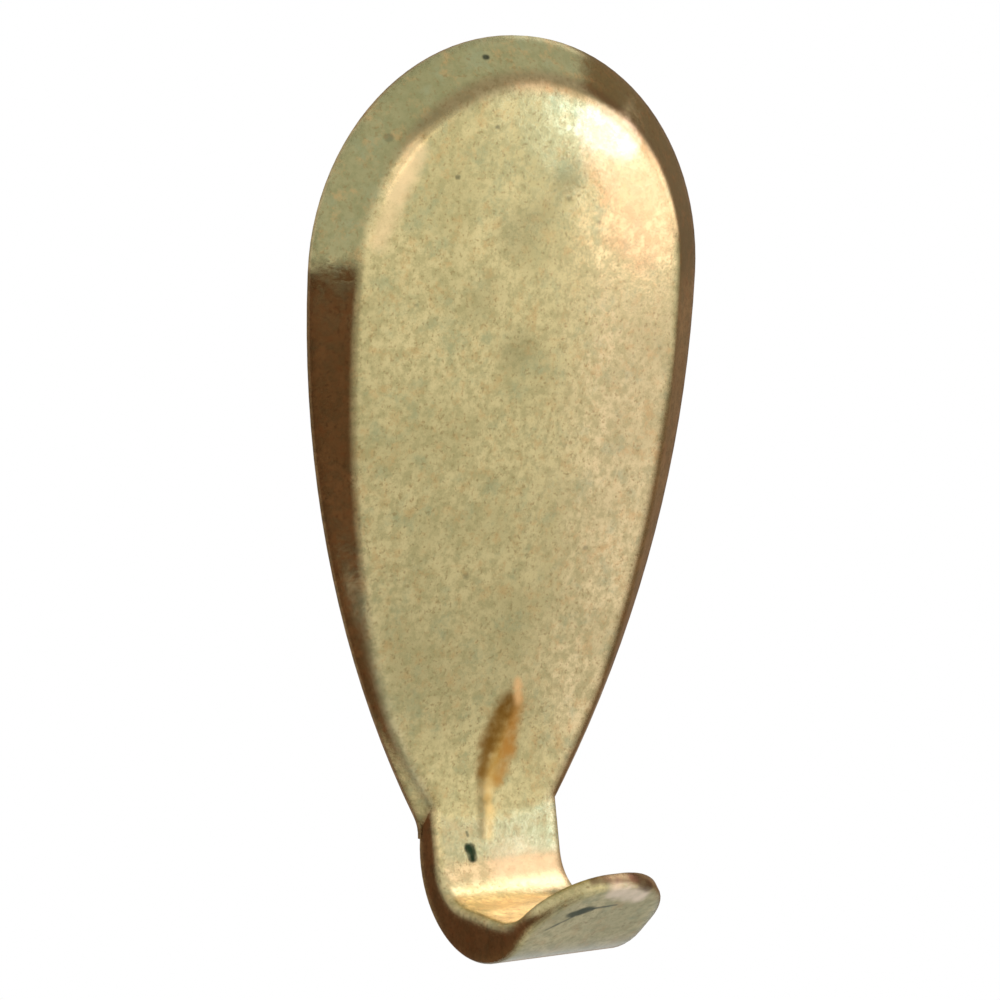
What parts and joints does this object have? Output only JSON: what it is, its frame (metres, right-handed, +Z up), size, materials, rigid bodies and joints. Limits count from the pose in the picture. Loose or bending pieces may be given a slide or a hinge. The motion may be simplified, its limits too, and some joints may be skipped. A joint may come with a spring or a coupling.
{
  "type": "picture hook",
  "caption": "Aged cast-brass picture hook: a bevelled drop-shaped front, an upturned hook at its foot and a return behind that hangs on a picture rail.",
  "frame": {"origin": "middle of the seat, the flat underside of the bridge that bears on top of the rail", "axes": "+Z up, -Y towards the viewer of the front, +X to the right of someone facing the front"},
  "size_m": [0.032, 0.0306, 0.0619],
  "materials": {
    "aged_brass": "worn satin with mottled patina"
  },
  "bodies": {
    "root": {"picture_hook": "aged_brass"}
  },
  "joints": []
}
